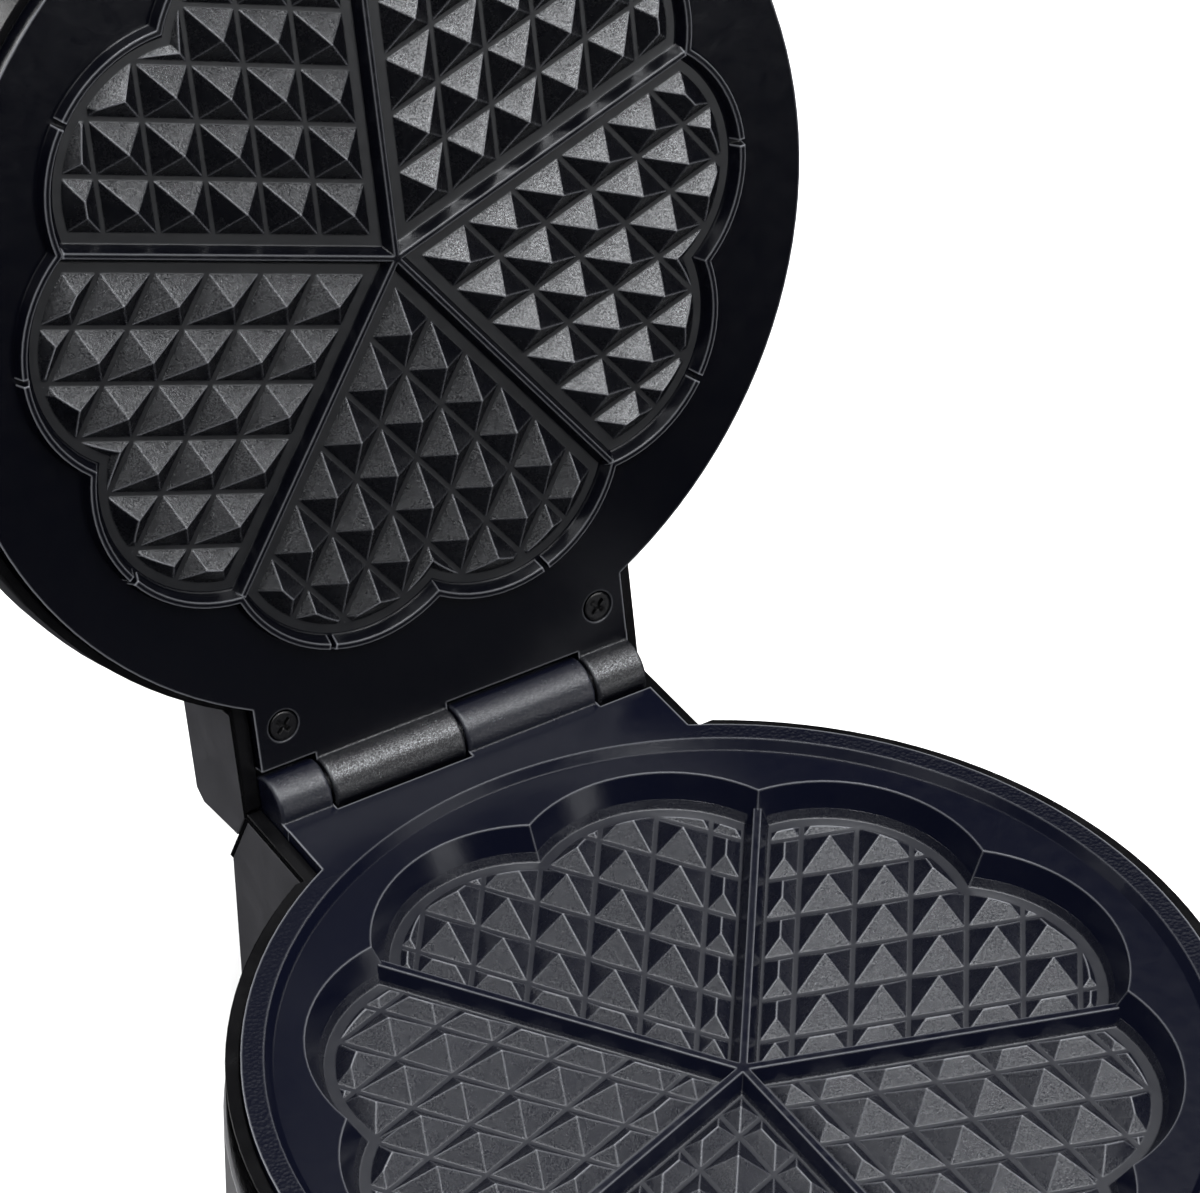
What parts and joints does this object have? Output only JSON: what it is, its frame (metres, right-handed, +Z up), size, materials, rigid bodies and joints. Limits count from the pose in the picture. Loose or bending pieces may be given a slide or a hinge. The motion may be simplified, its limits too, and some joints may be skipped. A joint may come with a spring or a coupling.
{
  "type": "waffle maker",
  "caption": "Round electric waffle maker with heart-shaped cells in both plates, standing open on its rear barrel hinge.",
  "frame": {"origin": "middle of the footprint at the height of the feet, lid open", "axes": "+Z up, +Y towards the hinge, +X to the right when seen from the handles"},
  "size_m": [0.2136, 0.37, 0.3375],
  "materials": {
    "housing": "satin dark grey heat-proof moulding",
    "black_trim": "matt black heat-proof moulding",
    "grip": "matt black, finely grained",
    "plate_coating": "die-cast, satin black non-stick coating",
    "steel_skin": "brushed stainless sheet",
    "element": "dull sheathed element",
    "sheet": "bright rolled sheet",
    "screw_steel": "bright zinc-plated steel",
    "black_screw": "blackened steel",
    "rubber": "soft matt",
    "insulator": "cream phenolic",
    "red_glass": "clear red lens",
    "green_glass": "clear green lens",
    "pointer": "white inlay"
  },
  "bodies": {
    "base": {"base_shell": "housing", "base_band": "steel_skin", "lower_trim": "black_trim", "lower_plate": "plate_coating", "lower_heater": "element", "lower_shield": "sheet", "lower_shield_screw": "screw_steel", "lower_plate_screws": "screw_steel", "bottom_cover": "housing", "cover_screws": "screw_steel", "rubber_feet": "rubber", "base_handle": "grip", "base_handle_screws": "screw_steel", "cord_bushing": "black_trim", "terminal_block": "insulator", "hinge_pin": "screw_steel"},
    "lid": {"lid_shell": "housing", "lid_panel": "steel_skin", "upper_trim": "black_trim", "upper_plate": "plate_coating", "upper_heater": "element", "upper_shield": "sheet", "upper_shield_screw": "screw_steel", "upper_plate_screws": "black_screw", "lid_handle": "grip", "lid_handle_screws": "screw_steel", "thermostat_body": "insulator", "lamp_holders": "insulator", "red_lens": "red_glass", "green_lens": "green_glass", "thermal_fuse": "insulator"},
    "knob": {"thermostat_knob": "grip", "knob_spindle": "screw_steel", "knob_pointer": "pointer"}
  },
  "joints": [
    {"name": "lid_hinge", "type": "hinge", "parent": "base", "child": "lid", "pos_m": [0, 0.0986, 0.064], "axis": [1, 0, 0], "range_deg": [0, 102.6]},
    {"name": "knob_turn", "type": "hinge", "parent": "lid", "child": "knob", "pos_m": [0, 0.16701, 0.22654], "axis": [0, 0.9755, -0.2198], "range_deg": [0, 270]}
  ]
}
